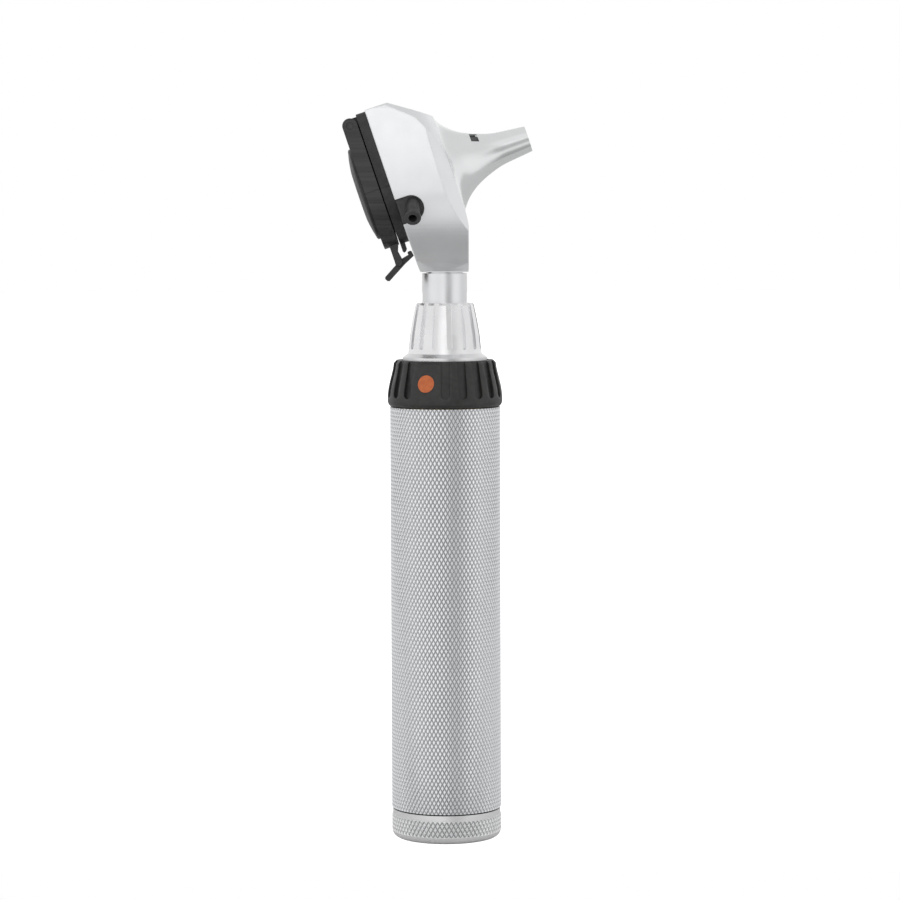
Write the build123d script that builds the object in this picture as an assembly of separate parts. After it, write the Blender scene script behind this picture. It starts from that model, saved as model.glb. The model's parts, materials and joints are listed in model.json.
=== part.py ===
from build123d import *
import os
from math import atan2, cos, degrees, radians, sin, sqrt

# A battery-handled otoscope, in millimetres. +Z runs up the handle's axis from the centre of the
# flat bottom, +X is the side the nose cone points to, and XZ is the plane of symmetry of the head.

# Driving dimensions: handle
GRIP_R = 15.0            # handle barrel, 30 mm across
TUBE_WALL = 1.7
CAP_TOP = 7.95           # the base cap's upper edge
TUBE_BOTTOM = 8.35
TUBE_TOP = 118.2
CAP_ROUND = 2.2          # rounding of the cap's bottom edge
RING_TOP = 131.0
COLLAR_TOP = 146.5
NECK_R = 6.1
NECK_TOP = 154.5         # shoulder of the neck, just under the head
SOCKET_FLOOR = 126.0     # lower end of the neck in the collar
RUN = 0.05               # radial clearance of a running fit
SEAM = 0.1               # gap between neighbouring pieces that don't touch

# Driving dimensions: head, in the optical frame (s along the nose, t square to it)
TILT = 18.5              # the nose points this many degrees above the horizontal
NOSE_BASE = (1.5, 0, 183.7)
NOSE_R = 13.75           # the cone's base circle
NOSE_LENGTH = 22.5
HEAD_BACK = -16.85       # s of the housing's flat back
HEAD_TOP = 20.95         # t of the housing's top face
HALF_WIDTH = 16.5
WALL = 1.4
HEAD_BOTTOM = 154.9      # z of the housing's bottom flange
FLANGE_R = 6.6
SWEEP_TOP = 177.0        # z of the sides' widest point, where they start to sweep in below
SIDE_CROWN_R = 330.0     # radius of the sides' slight crown above it
SIDE_RISE = 38.0         # height of the crowned stretch, taken past the head's top
WINDOW_R = 15.9          # round lower part of both window frames
FRAME_HALF = 16.2
REAR_FRAME = (-19.5, -16.9)      # s of the fixed frame's back and front
LENS_FRAME = (-23.9, -19.85)     # s of the window frame's back and front
HINGE = (-21.875, 18.2)  # hinge pin in (s, t)
KNUCKLE_R = 2.025
KNUCKLE_SPLIT = 7.9      # half width of the middle knuckle
LATCH = (-21.5, -20.45)  # latch pin in (s, t)
PORT = (-13.45, -7.7)    # insufflation port in (s, t)
PORT_R = 3.5

SIDE = Plane(
    origin=NOSE_BASE,
    x_dir=(cos(radians(TILT)), 0, sin(radians(TILT))),
    z_dir=(0, -1, 0),
)
OPTIC = Axis(NOSE_BASE, SIDE.x_dir)
UPRIGHT = Plane.XZ
ALL_ROUND = 360
STAND = (Align.CENTER, Align.CENTER, Align.MIN)  # stands on the plane that it is placed on


def ring(r_out, r_in, z0, z1):
    """A plain ring or disc about the handle's axis."""
    body = Pos(0, 0, z0) * Cylinder(r_out, z1 - z0, align=STAND)
    if r_in > 0:
        body -= Pos(0, 0, z0) * Cylinder(r_in, z1 - z0, align=STAND)
    return body


def spin(points):
    """A closed (r, z) outline turned about the handle's axis."""
    return revolve(UPRIGHT * make_face(Polyline(*points, close=True)), Axis.Z)


def optic_spin(points):
    """A closed (s, r) outline turned about the optical axis."""
    return revolve(SIDE * make_face(Polyline(*points, close=True)), OPTIC)


def optic_ring(r_out, r_in, s0, s1):
    """A plain ring or disc about the optical axis."""
    return optic_spin([(s0, r_in), (s1, r_in), (s1, r_out), (s0, r_out)])


def slab(points, half, offset=0.0):
    """A closed (s, t) outline extruded across the head, centred offset towards -Y."""
    outline = SIDE * make_face(Polyline(*points, close=True))
    return Pos(0, -offset, 0) * extrude(outline, half, both=True)


def at(s, t, y=0.0):
    """The point at (s, t) in the optical frame, y across the head."""
    return SIDE.from_local_coords((s, t, -y))


def cross_rod(s, t, radius, y0, y1):
    """A round rod across the head, from y0 to y1."""
    centre = at(s, t, (y0 + y1) / 2)
    return Pos(*centre) * Rot(90, 0, 0) * Cylinder(radius, abs(y1 - y0))


def s_rod(y, t, radius, s0, s1):
    """A round rod along the optical direction at (y, t), from s0 to s1."""
    start = at(s0, t, y)
    return Plane(start, z_dir=SIDE.x_dir) * Cylinder(radius, s1 - s0, align=STAND)


def coil(radius, wire, z0, z1, turns):
    """A round-wire helical spring about the handle's axis."""
    pitch = (z1 - z0 - 2 * wire) / turns
    path = Pos(0, 0, z0 + wire) * Helix(pitch, z1 - z0 - 2 * wire, radius)
    section = Plane(path @ 0, z_dir=path % 0) * Circle(wire)
    return sweep(section, path, is_frenet=True)


# ---------------------------------------------------------------- base cap

THREAD_TOP = 14.0        # upper end of the cap's threaded spigot
SOCKET_HALF = (4.5, 1.6)  # half width and height of the charging socket's shell
SOCKET_DEPTH = 7.0
SHELL_WALL = 0.3
CAP_FLOOR = 3.0
SPIGOT_WALL = 1.5
CAP_SPIGOT_R = GRIP_R - TUBE_WALL - RUN
SEAL_INSET = 0.5         # how far the seal stands inside the barrel
SOCKET_LIP = 0.6         # thickness of the cap in front of the shell
TONGUE_SIZE = (6.6, 0.7, 4.7)
TONGUE_FOOT = 1.8
BOARD_R = 11.6
BOARD_TOP = SOCKET_DEPTH + 1.0
CELL_FOOT = 17.2         # lower end of the battery's contact


def socket_prism(margin, z0, z1):
    half_width = SOCKET_HALF[0] + margin
    half_height = SOCKET_HALF[1] + margin
    outline = SlotOverall(2 * half_width, 2 * half_height)
    return Pos(0, 0, z0) * extrude(outline, z1 - z0)


def base_cap():
    cap = ring(GRIP_R, 0, 0, CAP_TOP)
    cap = fillet(cap.edges().group_by(Axis.Z)[0], CAP_ROUND)
    cap += ring(CAP_SPIGOT_R, 0, CAP_TOP, THREAD_TOP)
    cap -= ring(CAP_SPIGOT_R - SPIGOT_WALL, 0, CAP_FLOOR, THREAD_TOP)
    return cap - socket_prism(0, 0, CAP_FLOOR)


def base_seal():
    return ring(GRIP_R - SEAL_INSET, CAP_SPIGOT_R, CAP_TOP, TUBE_BOTTOM)


def usb_shell():
    inside = socket_prism(-SHELL_WALL, SOCKET_LIP, SOCKET_DEPTH - 0.5)
    return socket_prism(0, SOCKET_LIP, SOCKET_DEPTH) - inside


def usb_tongue():
    return Pos(0, 0, TONGUE_FOOT) * Box(*TONGUE_SIZE, align=STAND)


def charge_board():
    return ring(BOARD_R, 0, SOCKET_DEPTH, BOARD_TOP)


def base_spring():
    return coil(4.0, 0.4, BOARD_TOP, CELL_FOOT - SEAM, 5)


# ---------------------------------------------------------------- battery

CASE_R = 12.9
CASE_TOP = 101.0
CELL_R = 9.2
CELL_SPAN = (20.4, 85.4)
CASE_BORE_R = CELL_R + 0.2
CONTACT_R = 5.0          # the negative contact
STUD_R = 3.2             # the positive stud
STUD_FOOT = CELL_SPAN[1] + 1.2


def handle_tube():
    return ring(GRIP_R, GRIP_R - TUBE_WALL, TUBE_BOTTOM, TUBE_TOP)


def battery_case():
    case = ring(CASE_R, CASE_BORE_R, CELL_FOOT + 0.8, CASE_TOP)
    return case + ring(CASE_R, CONTACT_R, CELL_FOOT + 0.8, CELL_SPAN[0] - 1.0)


def battery_negative():
    return ring(CONTACT_R, 0, CELL_FOOT, CELL_SPAN[0])


def battery_cell():
    cell = fillet(ring(CELL_R, 0, *CELL_SPAN).edges(), 0.8)
    return cell + ring(STUD_R, 0, CELL_SPAN[1], STUD_FOOT)


def protection_board():
    return ring(CASE_BORE_R, STUD_R, STUD_FOOT, STUD_FOOT + 1.0)


def battery_positive():
    return ring(STUD_R, 0, STUD_FOOT, CASE_TOP + 1.0)


def battery_lid():
    return ring(CASE_BORE_R, STUD_R, CASE_TOP - 4.0, CASE_TOP)


# ---------------------------------------------------------------- top of the handle

POST_R = 10.6            # the post that the dimmer ring turns on
CORE_BOTTOM = 106.0
FLANGE_TOP = 120.2       # top of that post's lower bearing
BOARD_SEAT = 122.0
LIP = (128.8, 129.9)     # the dimmer ring's inner lip
SOCKET_R = NECK_R + RUN
PLUNGER_R = 1.5
INSULATOR = (112.0, 124.0)
CORE_TOP = 134.0
CORE_BORE_R = 4.0
BEARING_R = 13.15        # lower bearing of the dimmer ring
RING_BORE_R = 12.6       # the hollow round the resistor board
PLUNGER_FLANGE = (119.4, 120.4)
PLUNGER_TOP = 127.4
SPRING_SEAT = INSULATOR[0] + 1.0


def handle_core():
    core = ring(GRIP_R - TUBE_WALL, 0, CORE_BOTTOM, TUBE_TOP)
    core += ring(BEARING_R, 0, TUBE_TOP, FLANGE_TOP)
    core += ring(11.4, 0, FLANGE_TOP, BOARD_SEAT)
    core += ring(POST_R, 0, BOARD_SEAT, LIP[1] + 0.35)
    core += ring(9.0, 0, LIP[1] + 0.35, CORE_TOP)
    core -= ring(SOCKET_R, 0, INSULATOR[0], CORE_TOP)
    return core - ring(CORE_BORE_R, 0, CORE_BOTTOM, INSULATOR[0])


def rheostat_board():
    return ring(12.1, POST_R, BOARD_SEAT, BOARD_SEAT + 0.8)


def supply_contact():
    """A leaf under the core that presses on the battery's centre contact."""
    leaf = ring(6.0, 0, CORE_BOTTOM - 0.4, CORE_BOTTOM)
    return leaf + ring(1.2, 0, CASE_TOP + 1.0, CORE_BOTTOM - 0.4)


def ring_washer():
    return ring(11.4, POST_R, LIP[1] + RUN, LIP[1] + 0.35)


def contact_insulator():
    insulator = ring(SOCKET_R, PLUNGER_R + RUN, *INSULATOR)
    return insulator - ring(3.0, 0, INSULATOR[0] + 1.0, INSULATOR[1] - 2.0)


def contact_plunger():
    return ring(PLUNGER_R, 0, PLUNGER_FLANGE[0], PLUNGER_TOP) + ring(2.6, 0, *PLUNGER_FLANGE)


def contact_spring():
    return coil(2.0, 0.25, SPRING_SEAT, PLUNGER_FLANGE[0] - RUN, 5)


# The dimmer ring's outside is a convex barrel that narrows towards the collar.
BARREL = [(TUBE_TOP + 0.15, 14.75), (119.2, 15.5), (120.3, 15.65), (125.0, 15.05), (130.2, 13.95)]
FLUTES = 19
FLUTE_STEP = 17.7
FLUTE_WIDTH = 2.4
FLUTE_FLOOR = ((14.95, 120.8), (13.25, 130.2))  # (r, z) at the foot and near the top of a flute
PAD_AZIMUTH = -110.0     # the plain pad, a little to the left of the front
PAD_TO_FLUTE = 20.6      # degrees from the pad's middle to the first flute
INDEX_Z = 125.1
INDEX_R = 2.3
INDEX_FLOOR = 14.3


def barrel(grow=0.0):
    """The dimmer ring's outer form as a solid of revolution, grown outwards."""
    outline = [(r + grow, z) for z, r in BARREL]
    side = Spline(*outline)
    crown = Line(outline[-1], (13.2 + grow, RING_TOP))
    lid = Polyline((13.2 + grow, RING_TOP), (0, RING_TOP), (0, BARREL[0][0]), outline[0])
    return revolve(UPRIGHT * make_face(side + crown + lid), Axis.Z)


def dimmer_ring():
    body = barrel()
    body -= ring(BEARING_R + RUN, 0, TUBE_TOP, 121.5)
    body -= ring(RING_BORE_R, 0, 121.5, LIP[0])
    body -= ring(POST_R + RUN, 0, LIP[0], LIP[1])
    body -= ring(11.75, 0, LIP[1], RING_TOP)
    for i in range(FLUTES):
        azimuth = PAD_AZIMUTH + PAD_TO_FLUTE + i * FLUTE_STEP
        body -= Rot(0, 0, azimuth) * groove_cutter(FLUTE_WIDTH, *FLUTE_FLOOR)
    return body - index_rod()


def groove_cutter(width, foot, head):
    """A round-ended channel at azimuth 0, open at its top, whose floor runs from foot to head."""
    lean = degrees(atan2(foot[0] - head[0], head[1] - foot[1]))
    length = 24.0
    channel = extrude(Pos(-length / 2, 0) * SlotOverall(length, width), 4.0)
    return Pos(foot[0], 0, foot[1]) * Rot(0, -lean, 0) * Rot(0, 90, 0) * channel


def index_rod():
    start = Rot(0, 0, PAD_AZIMUTH) * Pos(INDEX_FLOOR, 0, INDEX_Z) * Rot(0, 90, 0)
    return start * Cylinder(INDEX_R, 4.0, align=STAND)


def index_marker():
    return index_rod() & barrel(0.05)


def wiper_spring():
    """A curved leaf held in the ring's wall, with a finger on the resistor board."""
    leaf = ring(RING_BORE_R, 11.0, 124.0, 124.3) & Pos(12.0, 0, 124.0) * Box(6.0, 7.0, 2.0)
    finger = Pos(11.5, 0, 123.45) * Box(0.6, 1.2, 1.1)
    return leaf + finger


COLLAR = [
    (11.5, 130.25), (11.5, 131.8), (10.1, 132.8), (9.9, 134.0), (9.5, 138.0), (8.75, 142.3),
    (8.0, 145.9), (7.6, COLLAR_TOP),
]
COLLAR_GROOVES = 15
GROOVE_WIDTH = 1.5
GROOVE_FLOOR = ((9.2, 133.9), (7.3, 146.5))
GROOVE_PHASE = -82.0
PIN_AZIMUTHS = (0, 180)
PIN_Z = 137.0
PIN_R = 0.8
PIN_TIP = 5.35           # the pins' inner ends, in the neck's slots


def bayonet_collar():
    inner = [(SOCKET_R, COLLAR_TOP), (SOCKET_R, CORE_TOP), (9.05, CORE_TOP), (9.05, COLLAR[0][1])]
    body = spin(COLLAR + inner)
    for i in range(COLLAR_GROOVES):
        azimuth = GROOVE_PHASE + i * ALL_ROUND / COLLAR_GROOVES
        body -= Rot(0, 0, azimuth) * groove_cutter(GROOVE_WIDTH, *GROOVE_FLOOR)
    for azimuth in PIN_AZIMUTHS:
        body -= bayonet_pin(azimuth)
    return body


def bayonet_pin(azimuth):
    rod = Rot(0, 90, 0) * Cylinder(PIN_R, 2.2, align=STAND)
    return Rot(0, 0, azimuth) * Pos(PIN_TIP, 0, PIN_Z) * rod


def bayonet_pins():
    return Compound([bayonet_pin(azimuth) for azimuth in PIN_AZIMUTHS])


# ---------------------------------------------------------------- neck and lamp

SPIGOT_R = 5.0
SPIGOT_TOP = 161.0
LAMP_R = 4.0
LAMP_SEAT = 152.0        # top of the heatsink
LAMP_TOP = 152.8         # top of the lamp's board
TUBE_BORE_R = 5.0
CLIP = (160.0, 160.6)
CLIP_R = 5.6


def neck_tube():
    tube = ring(NECK_R, TUBE_BORE_R, SOCKET_FLOOR, LAMP_SEAT)
    tube += ring(NECK_R, LAMP_R, LAMP_SEAT, NECK_TOP)
    tube += ring(SPIGOT_R, LAMP_R, NECK_TOP, SPIGOT_TOP)
    tube -= ring(SPIGOT_R + 1, 4.6, *CLIP)
    slot_half = PIN_R + 0.2
    for azimuth in PIN_AZIMUTHS:
        # an axial entry slot from the lower end, and the locking leg square to it
        entry = Pos(5.6, 0, (SOCKET_FLOOR + PIN_Z) / 2) * Box(
            1.6, 2 * slot_half, PIN_Z - SOCKET_FLOOR + 2 * slot_half
        )
        lock = Pos(5.6, 2.0, PIN_Z) * Box(1.9, 4.0, 2 * slot_half)
        tube -= Rot(0, 0, azimuth) * (entry + lock)
    return tube


def neck_insulator():
    return ring(TUBE_BORE_R, 1.2, 128.0, 133.0)


def neck_contact():
    return ring(1.2, 0, 127.45, 141.0)


def led_heatsink():
    body = ring(TUBE_BORE_R, 0, 141.0, LAMP_SEAT)
    for level in range(3):
        z = 143.0 + 3.0 * level
        body -= ring(TUBE_BORE_R, 3.8, z, z + 1.4)
    return body


def led_board():
    return ring(LAMP_R, 0, LAMP_SEAT, LAMP_TOP)


def led_emitter():
    base = Pos(0, 0, LAMP_TOP) * Box(3.0, 3.0, 0.5, align=STAND)
    dome = Pos(0, 0, LAMP_TOP + 0.5) * Sphere(1.1, arc_size1=0, align=STAND)
    return base + dome


def led_lens():
    return spin([(1.5, 154.6), (LAMP_R, 157.6), (LAMP_R, 158.6), (0, 159.2), (0, 155.4)])


def neck_circlip():
    clip = ring(CLIP_R, 4.6, *CLIP)
    return clip - Pos(5.0, 0, sum(CLIP) / 2) * Box(4.0, 2.0, 2.0)


# ---------------------------------------------------------------- head housing

BEVEL = 0.797            # side bevel: sideways growth per millimetre back from the nose
TOP_BEVEL_S = -10.55     # s where the top face meets the front slope
CORNER_FLARE = [(0.0, NOSE_R), (-1.6, 17.4), (-3.2, 20.0), (-4.86, 21.9), (-8.0, 23.8),
                (-11.07, 25.8), (-16.9, 26.3), (-30.0, 26.6)]  # (s, r) of the rounded corners


def sweep_half_width(z):
    """Half width of the head at height z, where the sides sweep in as one arc."""
    depth = SWEEP_TOP - HEAD_BOTTOM
    inward = HALF_WIDTH - FLANGE_R
    arc_r = (depth**2 + inward**2) / (2 * inward)
    return HALF_WIDTH - arc_r + sqrt(arc_r**2 - (SWEEP_TOP - z) ** 2)


def side_form(inset):
    """The head's side view, extruded across it."""
    crown = HEAD_TOP - inset
    front = 6.55 - inset
    points = [
        at(HEAD_BACK + inset, crown),
        at(TOP_BEVEL_S, crown),
        at(-inset, NOSE_R + 0.15 - inset),
    ]
    low = at(-inset, -NOSE_R + inset)
    outline = [(p.X, p.Z) for p in points]
    outline += [(low.X, low.Z), (front, 167.6), (front, HEAD_BOTTOM)]
    outline.append((-6.6 + inset, HEAD_BOTTOM))
    # Plane.XZ looks along +Y, so an outline on it extrudes both ways from the plane of symmetry
    return extrude(UPRIGHT * make_face(Polyline(*outline, close=True)), HALF_WIDTH, both=True)


def front_form(inset):
    """The head's front view: slightly crowned sides that sweep in to the bottom flange."""
    mid_z = (SWEEP_TOP + HEAD_BOTTOM) / 2
    half, waist = HALF_WIDTH - inset, FLANGE_R - inset
    belly = sweep_half_width(mid_z) - inset
    right = ThreePointArc((waist, HEAD_BOTTOM), (belly, mid_z), (half, SWEEP_TOP))
    left = ThreePointArc((-waist, HEAD_BOTTOM), (-belly, mid_z), (-half, SWEEP_TOP))
    lean_mid, lean_top = (rise**2 / (2 * SIDE_CROWN_R) for rise in (SIDE_RISE / 2, SIDE_RISE))
    mid, top_z = SWEEP_TOP + SIDE_RISE / 2, SWEEP_TOP + SIDE_RISE
    right += ThreePointArc((half, SWEEP_TOP), (half - lean_mid, mid), (half - lean_top, top_z))
    left += ThreePointArc((-half, SWEEP_TOP), (lean_mid - half, mid), (lean_top - half, top_z))
    top = Line((half - lean_top, top_z), (lean_top - half, top_z))
    foot = Line((-waist, HEAD_BOTTOM), (waist, HEAD_BOTTOM))
    return extrude(Plane.YZ * make_face(right + top + left + foot), 60.0, both=True)


def corner_form(inset):
    """A flare about the optical axis that rounds the upper front corners to the nose circle."""
    rim = [(s, r - inset) for s, r in CORNER_FLARE]
    flare = optic_spin([(rim[0][0], 0)] + rim + [(rim[-1][0], 0)])
    low, high = HEAD_BACK - 20.0, 20.0
    return flare + slab([(low, 0), (high, 0), (high, -60.0), (low, -60.0)], HALF_WIDTH)


def bevel_form(inset):
    """Flat bevels on both sides, from the nose circle back to the full width."""
    start = NOSE_R - inset
    reach = 30.0
    plane = Plane(origin=NOSE_BASE, x_dir=SIDE.x_dir, z_dir=SIDE.y_dir)
    outline = Polyline((0, start), (0, -start), (-reach, -start - BEVEL * reach),
                       (-reach, start + BEVEL * reach), close=True)
    return extrude(plane * make_face(outline), 60.0, both=True)


def foot_form():
    """A cone about the handle's axis that trims the bottom corners to the round flange."""
    return spin([(0, HEAD_BOTTOM), (FLANGE_R, HEAD_BOTTOM), (FLANGE_R, HEAD_BOTTOM + 0.25),
                 (FLANGE_R + 60.0, HEAD_BOTTOM + 30.25), (FLANGE_R + 60.0, 230.0), (0, 230.0)])


def head_form(inset=0.0):
    form = side_form(inset) & front_form(inset)
    form = form & bevel_form(inset)
    form = form & corner_form(inset)
    return form & foot_form() if inset == 0 else form


SCREWS = [(13.0, 17.4), (-13.0, 17.4), (9.75, -9.75), (-9.75, -9.75)]
SCREW_R = 0.8
SCREW_HEAD_R = 1.4
SCREW_SEAT = -18.4       # s under the screw heads
EYE_R = 11.4             # clear opening of both frames
SEAL_R = (12.2, 11.6)
SEAL_FLOOR = -19.1       # s of the seal groove's floor
SOCKET_ROOF = 158.2
NOTCH = (8.6, 2.0, 3.8, 1.0)  # s, length along s, width round the cone, depth
NOTCH_ANGLES = (34.0, 214.0)


def port_slot(margin, y0, y1):
    """The U-shaped slot that runs from the port back through the head's rear edge."""
    radius = PORT_R + margin
    s, t = PORT
    round_end = cross_rod(s, t, radius, y0, y1)
    back = HEAD_BACK - 0.02
    run = slab([(s, t - radius), (s, t + radius), (back, t + radius), (back, t - radius)],
               abs(y1 - y0) / 2, -(y0 + y1) / 2)
    return round_end + run


def head_housing():
    body = head_form()
    cavity = head_form(WALL) - ring(30.0, 0, 150.0, SOCKET_ROOF)
    body -= cavity
    body -= optic_ring(EYE_R + 0.5, 0, HEAD_BACK - 1.0, HEAD_BACK + 3.0)
    body -= optic_ring(NOSE_R - 1.6, 0, -3.0, 1.0)
    for y, t in SCREWS:
        body += s_rod(y, t, 1.75, HEAD_BACK, HEAD_BACK + 5.0) & head_form()
        body -= s_rod(y, t, SCREW_R, HEAD_BACK - 1.0, HEAD_BACK + 4.0)
    body -= port_slot(0, -17.5, -11.9)
    body -= ring(CLIP_R + 0.2, 0, CLIP[0] - 0.2, CLIP[1] + 0.2)
    return body - ring(SPIGOT_R + RUN, 0, 150.0, SPIGOT_TOP + 0.2)


def nose_profile(thickness):
    """The trumpet's outside as an (s, r) curve, moved in by thickness."""
    points = [(0.0, 13.45), (2.0, 10.4), (5.6, 7.6), (12.0, 5.0), (NOSE_LENGTH, 3.5)]
    return Spline(*[(s, r - thickness) for s, r in points], tangents=((0.35, -1), (1, -0.12)))


def nose_cone():
    outside = nose_profile(0)
    start, end = outside @ 0, outside @ 1
    rim = Polyline((end.X, end.Y), (end.X, 0), (-2.0, 0), (-2.0, NOSE_R - 1.6),
                   (0, NOSE_R - 1.6), (0.0, start.Y))
    body = revolve(SIDE * make_face(outside + rim), OPTIC)
    body -= nose_cavity(1.0, 0.45)
    for angle in NOTCH_ANGLES:
        body -= bayonet_notch(angle)
    return body


def nose_cavity(base_wall, tip_wall):
    """The inside of the trumpet, from the open back to the tip."""
    points = [(-2.5, 0), (-2.5, 11.2), (0.0, 11.2), (2.2, 9.2), (5.6, 7.6 - base_wall),
              (12.0, 5.0 - 0.8), (NOSE_LENGTH + 1.0, 3.5 - tip_wall), (NOSE_LENGTH + 1.0, 0)]
    return optic_spin(points)


def bayonet_notch(angle):
    """A pocket in the trumpet for a speculum's lug, angle degrees from the top towards -Y."""
    s, length, width, depth = NOTCH
    radius = 6.0
    box = Pos(s, radius - depth + 2.0, 0) * Box(length, 4.0, width)
    return SIDE * (Rot(angle, 0, 0) * box)


def baffle_tube():
    outer = [(NOSE_LENGTH - 0.1, 2.6), (12.0, 3.3), (5.0, 5.2), (0.5, 8.0), (-1.8, 9.6)]
    inner = [(-1.8, 9.2), (0.5, 7.6), (5.0, 4.8), (12.0, 2.3), (NOSE_LENGTH - 0.1, 2.3)]
    return optic_spin(outer + inner)


def fibre_sleeve():
    """The ring of fibre ends between the baffle and the trumpet."""
    outer = [(NOSE_LENGTH - 0.1, 3.02), (12.0, 4.15), (5.6, 6.5), (2.2, 9.1), (0.6, 10.5)]
    inner = [(0.6, 9.9), (2.2, 8.5), (5.6, 5.9), (12.0, 3.5), (NOSE_LENGTH - 0.1, 2.65)]
    return optic_spin(outer + inner)


def fibre_bundle():
    """The bent bundle that carries the lamp's light up to the sleeve."""
    route = FilletPolyline((0, 0, 162.5), (0, 0, 168.5), at(-4.2, -10.4), at(0.5, -10.4),
                           radius=1.8)
    section = Plane(route @ 0, z_dir=route % 0) * Circle(0.55)
    return sweep(section, route)


def fibre_ferrule():
    return ring(1.9, 0.55, 162.4, 165.4)


# ---------------------------------------------------------------- frames and window

HINGE_PIN_R = 0.9
SPLIT_GAP = 0.15         # between the middle knuckle and the outer ones
FRAME_TOP = 20.6         # t of the fixed frame's top edge
BARREL_R = 11.6          # boss at the back of the window frame that the eyepiece ring turns on
BARREL_END = -24.8       # s of the boss's end
CELL_R_LENS = 10.6
LENS_CELL = (-24.7, -21.2)
LENS_R = 9.6
LENS_MIDDLE = -22.8      # s of the lens's middle plane
LENS_EDGE = 0.6          # half the lens's thickness at its edge
LENS_BULGE = 0.6         # rise of each face in the middle
SHOULDER = 0.9           # radial width of the cell's shoulder and of the retainer
FORK_Y = (2.3, 3.5)      # inner and outer face of each cheek
FORK_R = 1.0
LATCH_PIN_R = 0.6
LATCH_HALF = 2.1         # half width of the lever between the cheeks
TONGUE_HALF = 2.2
TAB_HALF = 3.5
EYECUP = [(-24.05, 12.75), (-24.65, 12.75), (-24.95, 12.3), (-25.4, 10.3), (-25.7, 8.6), (-25.9, 7.2),
          (-25.6, 6.9)]  # (s, r) over the eyepiece ring's domed back
NOZZLE_DROP = 33.0       # degrees below the horizontal
NOZZLE_ROOT = (0.45, 0.8)  # the nozzle's root from the port's centre, along X and up
NOZZLE_LENGTH = 6.4
NOZZLE_R = (2.0, 1.85)   # at the root and behind the bead
BEAD = (2.25, 1.1)       # radius and length of the bead at the tip
NOZZLE_BORE_R = 1.15
PORT_SPAN = (-15.4, -12.2)  # y of the block's face and back


def frame_outline(radius, half, top, corner):
    """A frame's outline seen from behind: round below, square above, as a sketch on (y, t)."""
    lower = Circle(radius)
    upper = Pos(0, top / 2, 0) * Rectangle(2 * half, top)
    shape = lower + upper
    corners = shape.vertices().group_by(Axis.Y)[-1]
    return fillet(corners, corner)


def frame_plate(span, radius, half, top, corner):
    plane = Plane(origin=at(span[0], 0), x_dir=(0, 1, 0), z_dir=SIDE.x_dir)
    outline = mirrored(frame_outline(radius, half, top, corner), plane)
    return extrude(plane * outline, span[1] - span[0])


def mirrored(sketch, plane):
    """Turn the outline so that its top points up the head whichever way the plane's y runs."""
    return sketch if plane.y_dir.Z > 0 else Rot(0, 0, 180) * sketch


def knuckle(y0, y1, web):
    """A hinge knuckle round the pin, with an (s, t) outline that ties it to its frame."""
    return cross_rod(*HINGE, KNUCKLE_R, y0, y1) + slab(web, abs(y1 - y0) / 2, -(y0 + y1) / 2)


def hinge_pin():
    return cross_rod(*HINGE, HINGE_PIN_R, -FRAME_HALF + SEAM, FRAME_HALF - SEAM)


def rear_frame():
    back, front = REAR_FRAME
    body = frame_plate(REAR_FRAME, WINDOW_R, FRAME_HALF, FRAME_TOP, 2.0)
    body -= optic_ring(EYE_R, 0, back - 1.0, front + 1.0)
    # the tongue that the latch hooks under
    body += slab([(back, -14.0), (-18.2, -14.0), (-18.25, -17.7), (-18.7, -18.25), (-19.2, -18.45),
                  (-19.5, -18.0)], TONGUE_HALF)
    s, t = HINGE
    web = [(s, t + KNUCKLE_R), (s, t - 0.6), (back + SEAM, t - 1.0), (back + SEAM, t + KNUCKLE_R)]
    body += knuckle(-KNUCKLE_SPLIT, KNUCKLE_SPLIT, web)
    body -= cross_rod(s, t, HINGE_PIN_R, -KNUCKLE_SPLIT - 1, KNUCKLE_SPLIT + 1)
    for y, hole_t in SCREWS:
        body -= s_rod(y, hole_t, SCREW_R, back - 1.0, front + 1.0)
        body -= s_rod(y, hole_t, SCREW_HEAD_R, back - 1.0, SCREW_SEAT)
    return body - optic_ring(*SEAL_R, back, SEAL_FLOOR)


def frame_screws():
    screws = []
    for y, t in SCREWS:
        shank = s_rod(y, t, SCREW_R, SCREW_SEAT, SCREW_SEAT + 5.5)
        head = s_rod(y, t, SCREW_HEAD_R, SCREW_SEAT - 1.0, SCREW_SEAT)
        drive = s_rod(y, t, 0.6, SCREW_SEAT - 1.1, SCREW_SEAT - 0.5)
        screws.append((shank + head) - drive)
    return Compound(screws)


def window_seal():
    return optic_ring(*SEAL_R, REAR_FRAME[0] - 0.25, SEAL_FLOOR)


def lens_frame():
    back, front = LENS_FRAME
    s, t = HINGE
    body = frame_plate(LENS_FRAME, WINDOW_R, FRAME_HALF, t - KNUCKLE_R - 0.35, 1.2)
    web = [(back, t), (back, 12.0), (front, 12.0), (front, t)]
    for side in (1, -1):
        body += knuckle(side * (KNUCKLE_SPLIT + SPLIT_GAP), side * FRAME_HALF, web)
    body -= cross_rod(s, t, HINGE_PIN_R + RUN, -FRAME_HALF - 1, FRAME_HALF + 1)
    body += optic_ring(BARREL_R, 5.0, BARREL_END, back)
    body -= optic_ring(CELL_R_LENS + RUN, 0, BARREL_END - 1.0, front + 1.0)
    # the fork that carries the latch
    s, t = LATCH
    outline = [(-22.45, -13.0), (-22.45, t), (s, t), (-20.45, t), (-20.45, -19.5), (-20.8, -17.6),
               (-20.2, -16.0), (front, -15.2), (front, -13.0)]
    for side in (1, -1):
        y0, y1 = side * FORK_Y[0], side * FORK_Y[1]
        cheek = slab(outline, abs(y1 - y0) / 2, -(y0 + y1) / 2)
        cheek += cross_rod(s, t, FORK_R, y0, y1)
        body += cheek - cross_rod(s, t, LATCH_PIN_R, y0, y1)
    return body


def latch_pin():
    return cross_rod(*LATCH, LATCH_PIN_R, -FORK_Y[1], FORK_Y[1])


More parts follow.
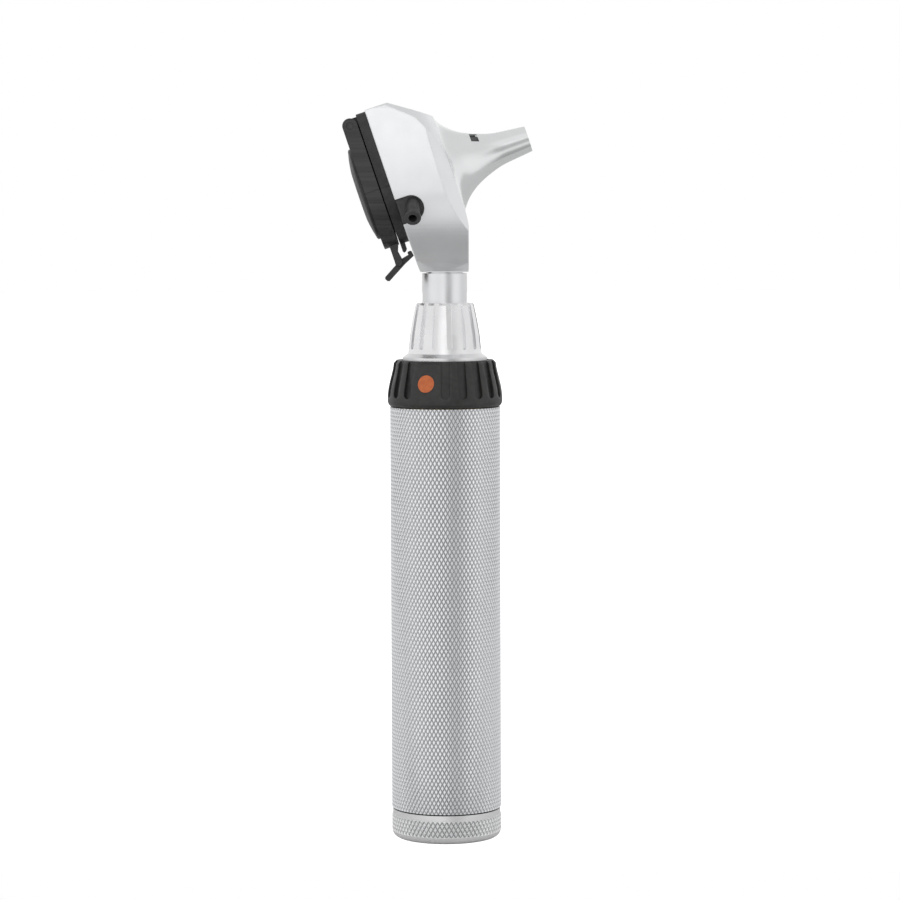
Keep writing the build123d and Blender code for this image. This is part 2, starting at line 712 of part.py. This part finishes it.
def latch_lever():
    """A rocker: the hook in front of the pin and the finger tab behind and below it."""
    body = slab([(-21.2, -19.7), (-20.5, -19.75), (-18.35, -19.3), (-18.45, -18.75), (-18.25, -18.5),
                 (-17.6, -18.42), (-17.25, -18.7), (-17.1, -20.05), (-19.9, -21.35), (-21.0, -21.7),
                 (-22.1, -21.3), (-22.2, -20.6), (-21.9, -20.0)], LATCH_HALF)
    body += slab([(-22.3, -20.75), (-26.2, -22.97), (-26.4, -23.5), (-25.95, -24.25), (-25.4, -24.4),
                  (-20.2, -21.5), (-20.9, -20.9)], TAB_HALF)
    for side in (1, -1):
        body -= cross_rod(*LATCH, FORK_R + 0.2, side * LATCH_HALF, side * (TAB_HALF + 1))
    body -= cross_rod(*LATCH, 1.1, -1.0, 1.0)
    return body - cross_rod(*LATCH, LATCH_PIN_R + RUN, -TAB_HALF - 1, TAB_HALF + 1)


def latch_spring():
    s, t = LATCH
    loops = [cross_rod(s, t, 1.0, y - 0.15, y + 0.15) - cross_rod(s, t, 0.7, y - 1, y + 1)
             for y in (-0.6, -0.2, 0.2, 0.6)]
    return Compound(loops)


def focus_ring():
    inside = [(BARREL_END - RUN, 7.6), (BARREL_END - RUN, BARREL_R + RUN), (-24.05, BARREL_R + RUN)]
    return optic_spin(EYECUP + inside)


def lens_cell():
    body = optic_ring(CELL_R_LENS, LENS_R, *LENS_CELL)
    return body + optic_ring(CELL_R_LENS, LENS_R - SHOULDER, LENS_CELL[1] - 0.85, LENS_CELL[1])


def magnifier_lens():
    """A biconvex lens: two balls' common part, trimmed to a disc."""
    half = LENS_EDGE + LENS_BULGE
    ball_r = (LENS_R**2 + LENS_BULGE**2) / (2 * LENS_BULGE)
    disc = optic_ring(LENS_R, 0, LENS_MIDDLE - half, LENS_MIDDLE + half)
    for side in (1, -1):
        centre = at(LENS_MIDDLE + side * (ball_r - half), 0)
        disc &= Pos(*centre) * Sphere(ball_r)
    return disc


def lens_retainer():
    return optic_ring(LENS_R, LENS_R - SHOULDER, -24.5, -23.55)


def insufflation_port():
    """The port block in the head's slot, with its nozzle pointing out and down."""
    body = port_slot(-SEAM / 2, *PORT_SPAN) & head_form(SEAM / 2)
    out = Vector(0, -cos(radians(NOZZLE_DROP)), -sin(radians(NOZZLE_DROP)))
    shift = Vector(NOZZLE_ROOT[0], 0, NOZZLE_ROOT[1])
    root = Plane(at(*PORT, PORT_SPAN[0]) + shift, x_dir=(1, 0, 0), z_dir=out)
    bead_r, bead_length = BEAD
    body += root * Pos(0, 0, -1.0) * Cone(*NOZZLE_R, NOZZLE_LENGTH + 0.5, align=STAND)
    bead = Pos(0, 0, NOZZLE_LENGTH - bead_length) * Cylinder(bead_r, bead_length, align=STAND)
    body += root * fillet(bead.edges(), 0.3)
    return body - root * Pos(0, 0, -2.5) * Cylinder(NOZZLE_BORE_R, NOZZLE_LENGTH + 5.0, align=STAND)


# ---------------------------------------------------------------- output

PARTS = [
    handle_tube, base_cap, base_seal, usb_shell, usb_tongue, charge_board, base_spring,
    battery_case, battery_cell, protection_board, battery_lid, battery_positive,
    battery_negative, handle_core, rheostat_board, supply_contact, ring_washer,
    bayonet_collar, bayonet_pins, contact_insulator, contact_spring, contact_plunger,
    dimmer_ring, index_marker, wiper_spring, neck_tube, neck_insulator, neck_contact,
    led_heatsink, led_board, led_emitter, led_lens, neck_circlip, head_housing, nose_cone,
    baffle_tube, fibre_sleeve, fibre_bundle, fibre_ferrule, rear_frame, frame_screws,
    window_seal, insufflation_port, hinge_pin, lens_frame, focus_ring, lens_cell,
    magnifier_lens, lens_retainer, latch_lever, latch_pin, latch_spring,
]

os.makedirs("parts", exist_ok=True)
for make in PARTS:
    export_step(make(), f"parts/{make.__name__}.step")
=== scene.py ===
import json
import math

import bmesh
import bpy
from mathutils import Euler, Matrix, Vector


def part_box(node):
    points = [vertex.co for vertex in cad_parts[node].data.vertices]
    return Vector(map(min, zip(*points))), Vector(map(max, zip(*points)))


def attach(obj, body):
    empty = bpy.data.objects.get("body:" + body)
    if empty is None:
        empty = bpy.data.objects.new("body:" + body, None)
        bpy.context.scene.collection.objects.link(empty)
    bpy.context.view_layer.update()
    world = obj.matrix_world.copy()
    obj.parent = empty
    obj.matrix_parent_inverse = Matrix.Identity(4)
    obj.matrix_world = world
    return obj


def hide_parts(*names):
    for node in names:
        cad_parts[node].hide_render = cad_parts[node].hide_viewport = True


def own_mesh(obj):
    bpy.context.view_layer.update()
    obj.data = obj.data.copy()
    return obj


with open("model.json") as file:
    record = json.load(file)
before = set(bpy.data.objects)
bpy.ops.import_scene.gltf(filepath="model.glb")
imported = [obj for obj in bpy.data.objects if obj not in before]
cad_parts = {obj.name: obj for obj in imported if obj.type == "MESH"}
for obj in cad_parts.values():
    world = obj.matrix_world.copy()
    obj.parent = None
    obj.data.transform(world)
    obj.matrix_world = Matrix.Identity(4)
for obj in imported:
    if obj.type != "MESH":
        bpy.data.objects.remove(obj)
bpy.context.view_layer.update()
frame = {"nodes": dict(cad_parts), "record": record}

MM = 0.001
NODES = frame["nodes"]
BODY_OF = {node: body for body, nodes in frame["record"]["behaviour"]["bodies"].items()
           for node in nodes}

# Places read from the frame
TUBE_LOW, TUBE_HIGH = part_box("handle_tube")
GRIP_R = (TUBE_HIGH.x - TUBE_LOW.x) / 2
GROOVE_DEPTH = 0.34 * MM  # of both knurls


# ---------------------------------------------------------------- camera, floor and light

CAMERA_DISTANCE = 0.882
CAMERA_HEIGHT = 0.1712
CAMERA_SIDE = 0.0013
CAMERA_PITCH = 4.208     # degrees below the horizontal
CAMERA_ROLL = -0.223
CAMERA_LENS = 129.6


def make_camera():
    data = bpy.data.cameras.new("camera")
    data.sensor_width = 36.0
    data.lens = CAMERA_LENS
    data.clip_start, data.clip_end = 0.05, 20.0
    camera = bpy.data.objects.new("camera", data)
    bpy.context.scene.collection.objects.link(camera)
    tilt = Euler((math.radians(90 - CAMERA_PITCH), 0, 0)).to_matrix()
    roll = Euler((0, 0, math.radians(CAMERA_ROLL))).to_matrix()
    camera.matrix_world = Matrix.Translation(
        (CAMERA_SIDE, -CAMERA_DISTANCE, CAMERA_HEIGHT)
    ) @ (tilt @ roll).to_4x4()
    bpy.context.scene.camera = camera


def make_floor():
    """A pale sheet from just in front of the object, white to the camera, dimmer in reflections."""
    front, back, side = -0.05, 6.0, 6.0
    mesh = bpy.data.meshes.new("floor")
    mesh.from_pydata(
        [(-side, front, 0), (side, front, 0), (side, back, 0), (-side, back, 0)], [], [(0, 1, 2, 3)]
    )
    floor = bpy.data.objects.new("floor", mesh)
    bpy.context.scene.collection.objects.link(floor)
    material = bpy.data.materials.new("floor")
    material.use_nodes = True
    shader = material.node_tree.nodes["Principled BSDF"]
    shader.inputs["Base Color"].default_value = (0.70, 0.70, 0.70, 1)
    shader.inputs["Roughness"].default_value = 0.9
    shader.inputs["Specular IOR Level"].default_value = 0.1
    shader.inputs["Emission Color"].default_value = (1, 1, 1, 1)
    seen = material.node_tree.nodes.new("ShaderNodeLightPath")
    material.node_tree.links.new(seen.outputs["Is Camera Ray"], shader.inputs["Emission Strength"])
    mesh.materials.append(material)


def area_light(name, place, aim, size, radiance):
    """A softbox of the given size (m), with its brightness rather than its power stated."""
    data = bpy.data.lights.new(name, "AREA")
    data.shape = "RECTANGLE"
    data.size, data.size_y = size
    data.energy = radiance * math.pi * size[0] * size[1]
    light = bpy.data.objects.new(name, data)
    bpy.context.scene.collection.objects.link(light)
    light.location = place
    direction = Vector(aim) - Vector(place)
    light.rotation_euler = direction.to_track_quat("-Z", "Y").to_euler()
    return light


ROOM_TURN = 20.0         # degrees from the camera to the dimmest part of the room
ROOM_DIM = 0.42          # a strip beside the camera
ROOM_SIDE = 0.92
ROOM_BACK = 1.00         # the backdrop
ROOM_UNDER = 0.34        # below the table's edge
ROOM_TOP = 0.76          # the ceiling


def make_light():
    world = bpy.data.worlds.new("studio")
    bpy.context.scene.world = world
    world.use_nodes = True
    tree = world.node_tree

    def spread(source, low, high, to_low, to_high):
        return map_range(tree, source, (low, high), (to_low, to_high), "SMOOTHSTEP")

    def blend(factor, first, second):
        node = tree.nodes.new("ShaderNodeMix")
        tree.links.new(factor, node.inputs["Factor"])
        for socket, value in (("A", first), ("B", second)):
            if isinstance(value, float):
                node.inputs[socket].default_value = value
            else:
                tree.links.new(value, node.inputs[socket])
        return node.outputs["Result"]

    coordinates = tree.nodes.new("ShaderNodeTexCoord")
    turned = tree.nodes.new("ShaderNodeMapping")
    turned.inputs["Rotation"].default_value = (0, 0, math.radians(-ROOM_TURN))
    tree.links.new(coordinates.outputs["Generated"], turned.inputs["Vector"])
    split = tree.nodes.new("ShaderNodeSeparateXYZ")
    tree.links.new(turned.outputs["Vector"], split.inputs[0])
    front = blend(spread(split.outputs["Y"], -0.985, -0.92, 0.0, 1.0), ROOM_DIM, ROOM_SIDE)
    level = blend(spread(split.outputs["Y"], -0.3, 0.7, 0.0, 1.0), front, ROOM_BACK)
    upper = blend(spread(split.outputs["Z"], 0.15, 0.60, 0.0, 1.0), level, ROOM_TOP)
    room = blend(spread(split.outputs["Z"], -0.70, -0.45, 0.0, 1.0), ROOM_UNDER, upper)
    seen = tree.nodes.new("ShaderNodeLightPath")
    shown = blend(seen.outputs["Is Camera Ray"], room, 1.0)
    tree.links.new(shown, tree.nodes["Background"].inputs["Strength"])
    tree.nodes["Background"].inputs["Color"].default_value = (1, 1, 1, 1)
    area_light("softbox_left", (-0.80, -0.50, 0.25), (0, 0, 0.10), (0.5, 0.9), 0.05)
    area_light("softbox_right", (0.80, -0.45, 0.25), (0, 0, 0.10), (0.45, 0.9), 0.05)
    area_light("softbox_top", (-0.1, -0.70, 0.85), (0, 0, 0.17), (0.9, 0.5), 0.12)
    area_light("softbox_front", (-0.05, -1.20, 0.44), (0, 0, 0.18), (0.5, 0.42), 0.62)
    bpy.context.scene.view_settings.view_transform = "Standard"
    bpy.context.scene.view_settings.look = "None"


# ---------------------------------------------------------------- materials


def new_material(name, colour, metallic, roughness, **sockets):
    """A Principled material with its plain values on the shader's own sockets."""
    material = bpy.data.materials.new(name)
    material.use_nodes = True
    shader = material.node_tree.nodes["Principled BSDF"]
    shader.inputs["Base Color"].default_value = (*colour, 1)
    shader.inputs["Metallic"].default_value = metallic
    shader.inputs["Roughness"].default_value = roughness
    for socket, value in sockets.items():
        shader.inputs[socket.replace("_", " ")].default_value = value
    return material


def object_space(material, stretch=(1, 1, 1), turn=(0, 0, 0)):
    """The row frame's coordinates, scaled, as the output of a Mapping node."""
    nodes, links = material.node_tree.nodes, material.node_tree.links
    coordinates = nodes.new("ShaderNodeTexCoord")
    mapping = nodes.new("ShaderNodeMapping")
    mapping.inputs["Scale"].default_value = stretch
    mapping.inputs["Rotation"].default_value = turn
    links.new(coordinates.outputs["Object"], mapping.inputs["Vector"])
    return mapping.outputs["Vector"]


def noise(material, scale, detail=3.0, roughness=0.55, vector=None):
    node = material.node_tree.nodes.new("ShaderNodeTexNoise")
    node.inputs["Scale"].default_value = scale
    node.inputs["Detail"].default_value = detail
    node.inputs["Roughness"].default_value = roughness
    source = vector if vector is not None else object_space(material)
    material.node_tree.links.new(source, node.inputs["Vector"])
    return node.outputs["Fac"]


FACTOR_LOW, FACTOR_HIGH = 0.3, 0.7       # the part of a noise's range that is used


def map_range(tree, source, given, result, interpolation="LINEAR"):
    """Takes source from the given pair of values to the resulting pair."""
    node = tree.nodes.new("ShaderNodeMapRange")
    node.interpolation_type = interpolation
    node.inputs["From Min"].default_value, node.inputs["From Max"].default_value = given
    node.inputs["To Min"].default_value, node.inputs["To Max"].default_value = result
    tree.links.new(source, node.inputs["Value"])
    return node.outputs["Result"]


def vary(material, socket, factor, low, high):
    """Lets a shader value run from low to high over the used part of factor."""
    tree = material.node_tree
    value = map_range(tree, factor, (FACTOR_LOW, FACTOR_HIGH), (low, high))
    tree.links.new(value, tree.nodes["Principled BSDF"].inputs[socket])


def tint(material, factor, dark, light):
    """Base colour between two shades over the used part of factor."""
    tree = material.node_tree
    ramp = tree.nodes.new("ShaderNodeValToRGB")
    ramp.color_ramp.interpolation = "EASE"
    ramp.color_ramp.elements[0].position = FACTOR_LOW
    ramp.color_ramp.elements[0].color = (*dark, 1)
    ramp.color_ramp.elements[1].position = FACTOR_HIGH
    ramp.color_ramp.elements[1].color = (*light, 1)
    tree.links.new(factor, ramp.inputs["Fac"])
    tree.links.new(ramp.outputs["Color"], tree.nodes["Principled BSDF"].inputs["Base Color"])


def bump(material, height, distance, strength=1.0):
    tree = material.node_tree
    node = tree.nodes.new("ShaderNodeBump")
    node.inputs["Strength"].default_value = strength
    node.inputs["Distance"].default_value = distance
    shader = tree.nodes["Principled BSDF"]
    tree.links.new(height, node.inputs["Height"])
    tree.links.new(node.outputs["Normal"], shader.inputs["Normal"])


BLASTED_METALLIC = 0.85


def blasted_metal(name, colour, roughness, grain=2600.0):
    """Bead-blasted and plated metal: fine grain, faint cloudy variation."""
    material = new_material(name, colour, BLASTED_METALLIC, roughness)
    vary(material, "Roughness", noise(material, 90.0), roughness - 0.02, roughness + 0.03)
    shade = tuple(c * 0.97 for c in colour)
    tint(material, noise(material, 140.0, 2.0), shade, colour)
    bump(material, noise(material, grain, 2.0), 0.00002, 0.35)
    return material


# The painted highlight along the housing's edges: settings of its edge mask
EDGE_SAMPLES = 6
FLAT_AGREES, CORNER_AGREES = 0.9999, 0.985   # rounded normal against true one, as a cosine
EDGE_HIGHLIGHT_METALLIC = 0.1


def painted_edge_highlight(material, radius):
    """A painted highlight: a paler line along the edges, where the surface is made less metallic as
    it turns a corner.
    """
    tree = material.node_tree
    rounding = tree.nodes.new("ShaderNodeBevel")
    rounding.samples = EDGE_SAMPLES
    rounding.inputs["Radius"].default_value = radius
    geometry = tree.nodes.new("ShaderNodeNewGeometry")
    compare = tree.nodes.new("ShaderNodeVectorMath")
    compare.operation = "DOT_PRODUCT"
    tree.links.new(rounding.outputs["Normal"], compare.inputs[0])
    tree.links.new(geometry.outputs["Normal"], compare.inputs[1])
    metallic = map_range(tree, compare.outputs["Value"], (FLAT_AGREES, CORNER_AGREES),
                         (BLASTED_METALLIC, EDGE_HIGHLIGHT_METALLIC))
    tree.links.new(metallic, tree.nodes["Principled BSDF"].inputs["Metallic"])


def turned_metal(name, colour, roughness):
    """Lathe-turned metal: very fine rings about the upright axis."""
    material = new_material(name, colour, 1.0, roughness)
    rings = noise(material, 900.0, 2.0, vector=object_space(material, (0.02, 0.02, 6.0)))
    vary(material, "Roughness", noise(material, 160.0), roughness - 0.04, roughness + 0.05)
    bump(material, rings, 0.00002, 0.4)
    return material


CREST = 0.02 * MM        # how far below the flats the full brightness starts
# painted shade: the grooves of both knurls are darkened to this share of the flats' colour
GROOVE_SHADE = 0.62      # a groove's brightness against the flats'


def knurl_metal(name, colour, roughness):
    """Knurled aluminium: bright flats and darker grooves, the darkening being painted shade."""
    material = new_material(name, colour, 1.0, roughness)
    tree = material.node_tree
    vary(material, "Roughness", noise(material, 220.0), roughness - 0.05, roughness + 0.07)
    reach = tree.nodes.new("ShaderNodeVectorMath")
    reach.operation = "LENGTH"
    tree.links.new(object_space(material, (1, 1, 0)), reach.inputs[0])
    # painted shade: the colour darkens with depth below the crest, down into the grooves
    height = map_range(tree, reach.outputs["Value"], (GRIP_R - GROOVE_DEPTH, GRIP_R - CREST),
                       (FACTOR_LOW, FACTOR_HIGH))
    tint(material, height, tuple(c * GROOVE_SHADE for c in colour), colour)
    bump(material, noise(material, 3200.0, 2.0), 0.00002, 0.4)
    return material


def black_plastic(name, colour, roughness, grain=1500.0, depth=0.00003):
    """Moulded black plastic: fine spark-eroded texture and a slight sheen."""
    material = new_material(name, colour, 0.0, roughness, Specular_IOR_Level=0.5)
    vary(material, "Roughness", noise(material, 300.0), roughness - 0.06, roughness + 0.08)
    tint(material, noise(material, 700.0, 3.0), colour, tuple(c * 1.7 for c in colour))
    bump(material, noise(material, grain, 3.0), depth, 0.5)
    return material


HEAD_TILT = 18.5         # degrees


def brushed_plastic(name, colour, roughness, turn):
    """Black plastic with fine streaks across the head."""
    material = new_material(name, colour, 0.0, roughness, Specular_IOR_Level=0.55)
    streaks = noise(material, 500.0, 3.0, vector=object_space(material, (0.05, 0.05, 3.0), turn))
    tint(material, streaks, tuple(c * 0.7 for c in colour), tuple(c * 1.9 for c in colour))
    vary(material, "Roughness", streaks, roughness - 0.05, roughness + 0.1)
    bump(material, streaks, 0.00003, 0.4)
    return material


def make_materials():
    silver = (0.80, 0.805, 0.815)
    materials = {
        "grip": knurl_metal("grip_knurl", (0.90, 0.91, 0.925), 0.30),
        "cap": knurl_metal("cap_knurl", (0.94, 0.945, 0.95), 0.28),
        "rim": turned_metal("cap_turned", (0.90, 0.90, 0.905), 0.30),
        "collar": blasted_metal("collar_satin", (0.84, 0.84, 0.85), 0.28),
        "neck": turned_metal("neck_turned", silver, 0.32),
        "housing": blasted_metal("housing_pearl", (0.83, 0.84, 0.85), 0.30),
        "nose": blasted_metal("nose_pearl", (0.84, 0.85, 0.855), 0.21),
        "ring": black_plastic("dimmer_black", (0.014, 0.0135, 0.013), 0.42),
        "frame": black_plastic("frame_black", (0.016, 0.0155, 0.016), 0.40),
        "window": brushed_plastic("window_black", (0.022, 0.021, 0.022), 0.42,
                                  (0, math.radians(-HEAD_TILT), 0)),
        "port": black_plastic("port_black", (0.030, 0.030, 0.030), 0.50),
        "rubber": black_plastic("rubber_black", (0.010, 0.010, 0.010), 0.75, 900.0),
        "inner_black": black_plastic("inner_black", (0.012, 0.012, 0.012), 0.6),
        "steel": turned_metal("steel_turned", (0.60, 0.60, 0.61), 0.28),
        "brass": turned_metal("brass_turned", (0.80, 0.62, 0.30), 0.30),
        "white": black_plastic("white_plastic", (0.48, 0.48, 0.46), 0.5),
        "board": black_plastic("circuit_green", (0.012, 0.060, 0.028), 0.35),
        "wrap": black_plastic("battery_film", (0.03, 0.06, 0.16), 0.3),
        "lamp": black_plastic("lamp_yellow", (0.50, 0.40, 0.08), 0.3),
        # painted shade: the fibre is made near-black so that the through-notch which shows it reads
        # as shaded
        "fibre": black_plastic("fibre_painted_shade", (0.05, 0.05, 0.05), 0.4),
    }
    # painted highlight: a paler line along the housing's edges, standing in for the light that
    # catches them
    painted_edge_highlight(materials["housing"], 0.5 * MM)
    index = new_material("index_orange", (0.55, 0.13, 0.03), 0.0, 0.45)
    tint(index, noise(index, 1200.0), (0.52, 0.115, 0.028), (0.60, 0.15, 0.035))
    bump(index, noise(index, 2500.0), 0.00002, 0.4)
    materials["index"] = index
    glass = new_material("lens_glass", (0.98, 0.99, 0.99), 0.0, 0.02,
                         Transmission_Weight=1.0, IOR=1.52, Coat_Weight=0.3, Coat_Roughness=0.02)
    vary(glass, "Roughness", noise(glass, 60.0), 0.01, 0.03)
    glass.node_tree.nodes["Principled BSDF"].inputs["Coat Tint"].default_value = (0.8, 0.9, 1, 1)
    materials["glass"] = glass
    return materials


FINISHES = {
    "collar": ["bayonet_collar"],
    "neck": ["neck_tube"],
    "housing": ["head_housing"],
    "nose": ["nose_cone"],
    "ring": ["dimmer_ring"],
    "index": ["index_marker"],
    "frame": ["rear_frame", "latch_lever"],
    "window": ["lens_frame", "focus_ring"],
    "port": ["insufflation_port", "hinge_pin", "latch_pin"],
    "rubber": ["base_seal", "window_seal"],
    "inner_black": ["battery_case", "baffle_tube", "lens_cell", "lens_retainer", "usb_tongue"],
    "steel": ["usb_shell", "base_spring", "bayonet_pins", "contact_spring", "neck_circlip",
              "fibre_ferrule", "frame_screws", "latch_spring"],
    "brass": ["battery_positive", "battery_negative", "handle_core", "supply_contact",
              "contact_plunger", "wiper_spring", "neck_contact", "led_heatsink"],
    "white": ["battery_lid", "ring_washer", "contact_insulator", "neck_insulator", "led_board"],
    "board": ["charge_board", "protection_board", "rheostat_board"],
    "wrap": ["battery_cell"],
    "lamp": ["led_emitter"],
    "glass": ["led_lens", "magnifier_lens"],
    # painted shade: these take the near-black fibre finish, so the notch over them looks dark
    "fibre": ["fibre_sleeve", "fibre_bundle"],
}


def stand_in(piece, node):
    """Puts a finished piece in a node's place, on the node's own body."""
    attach(piece, BODY_OF[node])
    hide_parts(node)


def paint(piece, material):
    piece.data.materials.clear()
    piece.data.materials.append(material)


def paint_nodes(materials):
    for finish, nodes in FINISHES.items():
        for name in nodes:
            paint(NODES[name], materials[finish])


# ---------------------------------------------------------------- knurled metal

FLAT_SHARE = 0.50        # how much of a diamond's width its flat top takes


class Knurl:
    """A band of truncated diamonds round the handle's axis, closed by ends and an inner wall."""

    def __init__(self, count, rows, low, high, radius, inner, depth):
        self.count, self.rows = count, rows
        self.low, self.high = low, high
        self.radius, self.inner, self.depth = radius, inner, depth
        self.pitch = (high - low) / rows
        self.points, self.faces = [], []
        self.cache = {}

    def point(self, step, level, radius):
        """A vertex at half-pitch step round the handle and half-pitch level up it."""
        step %= 2 * self.count
        key = (round(step, 4), round(level, 4), round(radius, 7))
        if key not in self.cache:
            angle = math.pi * step / self.count
            z = self.low + level * self.pitch / 2
            self.cache[key] = len(self.points)
            self.points.append((radius * math.cos(angle), radius * math.sin(angle), z))
        return self.cache[key]

    def diamond(self, step, level):
        """One diamond; on the band's two edges only its inner half."""
        groove = self.radius - self.depth
        top = 2 * self.rows
        corners = [(1, 0), (0, 1), (-1, 0), (0, -1)]
        if level == 0:
            corners = [(1, 0), (0, 1), (-1, 0)]
        elif level == top:
            corners = [(-1, 0), (0, -1), (1, 0)]
        foot = [self.point(step + i, level + j, groove) for i, j in corners]
        crown = [self.point(step + FLAT_SHARE * i, level + FLAT_SHARE * j, self.radius)
                 for i, j in corners]
        self.faces.append(crown)
        sides = len(corners) if len(corners) == 4 else 2
        for a in range(sides):
            b = (a + 1) % len(corners)
            self.faces.append([foot[a], foot[b], crown[b], crown[a]])

    def end(self, level, up):
        """The flat ring between the cut diamonds and the inner wall."""
        groove = self.radius - self.depth
        for step in range(0, 2 * self.count, 2):
            rim = [(step - 1, groove), (step - FLAT_SHARE, self.radius),
                   (step + FLAT_SHARE, self.radius), (step + 1, groove)]
            face = [self.point(s, level, r) for s, r in rim]
            face += [self.point(step + side, level, self.inner) for side in (1, -1)]
            self.faces.append(face if up else face[::-1])

    def wall(self):
        top = 2 * self.rows
        for step in range(0, 2 * self.count, 2):
            self.faces.append([
                self.point(step - 1, 0, self.inner), self.point(step - 1, top, self.inner),
                self.point(step + 1, top, self.inner), self.point(step + 1, 0, self.inner),
            ])

    def build(self, name):
        for level in range(2 * self.rows + 1):
            shift = level % 2
            for step in range(shift, 2 * self.count + shift, 2):
                self.diamond(step, level)
        self.end(0, False)
        self.end(2 * self.rows, True)
        self.wall()
        return mesh_piece(name, self.points, self.faces)


def mesh_piece(name, points, faces):
    mesh = bpy.data.meshes.new(name)
    mesh.from_pydata(points, [], faces)
    mesh.validate()
    mesh.update()
    piece = bpy.data.objects.new(name, mesh)
    bpy.context.scene.collection.objects.link(piece)
    return piece


def lathe(name, outline, sides=160):
    """A closed (r, z) outline turned about the handle's axis."""
    points, faces = [], []
    count = len(outline)
    for i in range(sides):
        angle = 2 * math.pi * i / sides
        points += [(r * math.cos(angle), r * math.sin(angle), z) for r, z in outline]
    for i in range(sides):
        j = (i + 1) % sides
        for a in range(count):
            b = (a + 1) % count
            faces.append([i * count + a, j * count + a, j * count + b, i * count + b])
    piece = mesh_piece(name, points, faces)
    smooth_by_angle(piece, 35.0)
    return piece


def smooth_by_angle(piece, angle):
    """Smooth shading, with edges sharper than angle degrees kept crisp."""
    mesh = piece.data
    mesh.shade_smooth()
    mesh.set_sharp_from_angle(angle=math.radians(angle))


TUBE_WALL = 1.7 * MM
GRIP_COUNT = 82          # diamonds round the tube
GRIP_PITCH = 2.07 * MM   # up the tube


def make_grip(material):
    rows = round((TUBE_HIGH.z - TUBE_LOW.z) / GRIP_PITCH)
    grip = Knurl(GRIP_COUNT, rows, TUBE_LOW.z, TUBE_HIGH.z, GRIP_R, GRIP_R - TUBE_WALL,
                 GROOVE_DEPTH)
    piece = grip.build("grip_tube")
    paint(piece, material)
    stand_in(piece, "handle_tube")


BAND_LOW, BAND_HIGH = 1.95 * MM, 6.30 * MM
CAP_EDGE = 7.95 * MM
RIM_R = 14.75 * MM
BAND_SEAT_R = 14.60 * MM
BAND_COUNT, BAND_ROWS = 74, 2


def make_cap(knurled, turned):
    """The base cap, turned down for a knurled band and for the plain rim above it."""
    out = GRIP_R + 1.0 * MM
    cutter = lathe("cap_cutter", [(BAND_SEAT_R, BAND_LOW), (out, BAND_LOW), (out, CAP_EDGE + MM),
                                  (RIM_R, CAP_EDGE + MM), (RIM_R, BAND_HIGH),
                                  (BAND_SEAT_R, BAND_HIGH)])
    cap = copy_of("base_cap", "cap_body")
    cutting = cap.modifiers.new("turned_down", "BOOLEAN")
    cutting.operation = "DIFFERENCE"
    cutting.solver = "EXACT"
    cutting.object = cutter
    apply_modifiers(cap)
    bpy.data.objects.remove(cutter)
    smooth_by_angle(cap, 30.0)
    band = Knurl(BAND_COUNT, BAND_ROWS, BAND_LOW, BAND_HIGH, GRIP_R, BAND_SEAT_R, GROOVE_DEPTH)
    for piece, material in ((cap, turned), (band.build("cap_knurl_band"), knurled)):
        paint(piece, material)
        stand_in(piece, "base_cap")


# ---------------------------------------------------------------- rounded edges


def copy_of(node, name):
    """A new piece with a node's shape, its split corners joined again."""
    source = NODES[node]
    piece = bpy.data.objects.new(name, source.data.copy())
    piece.matrix_world = source.matrix_world.copy()
    bpy.context.scene.collection.objects.link(piece)
    form = bmesh.new()
    form.from_mesh(piece.data)
    bmesh.ops.remove_doubles(form, verts=form.verts, dist=0.0005 * MM)
    bmesh.ops.dissolve_limit(form, angle_limit=math.radians(0.2), verts=form.verts,
                             edges=form.edges)
    form.to_mesh(piece.data)
    form.free()
    return piece


def apply_modifiers(piece):
    shaped = bpy.data.meshes.new_from_object(
        piece.evaluated_get(bpy.context.evaluated_depsgraph_get()))
    piece.modifiers.clear()
    piece.data = shaped


def soften(node, material, width, angle):
    """A copy of a node with its edges rounded, so that they catch the light."""
    piece = copy_of(node, node + "_edged")
    bevel = piece.modifiers.new("edge_rounding", "BEVEL")
    bevel.width = width
    bevel.segments = 2
    bevel.limit_method = "ANGLE"
    bevel.angle_limit = math.radians(angle)
    bevel.harden_normals = True
    smooth_by_angle(piece, angle)
    paint(piece, material)
    stand_in(piece, node)


def make_contact_spring(material):
    """The spring under the sprung contact, copied at one length; nothing here shortens it as the
    contact is pressed.
    """
    spring = copy_of("contact_spring", "contact_coil")
    smooth_by_angle(spring, 40.0)
    paint(spring, material)
    stand_in(spring, "contact_spring")
    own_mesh(spring)


# node, finish, rounding width, smallest angle that counts as an edge (degrees)
EDGES = [
    ("head_housing", "housing", 0.20 * MM, 12.0),
    ("dimmer_ring", "ring", 0.25 * MM, 28.0),
    ("rear_frame", "frame", 0.25 * MM, 28.0),
    ("lens_frame", "window", 0.25 * MM, 28.0),
]

# ---------------------------------------------------------------- putting it together

make_camera()
make_floor()
make_light()
materials = make_materials()
paint_nodes(materials)
make_grip(materials["grip"])
make_cap(materials["cap"], materials["rim"])
make_contact_spring(materials["steel"])
for node, finish, width, angle in EDGES:
    soften(node, materials[finish], width, angle)
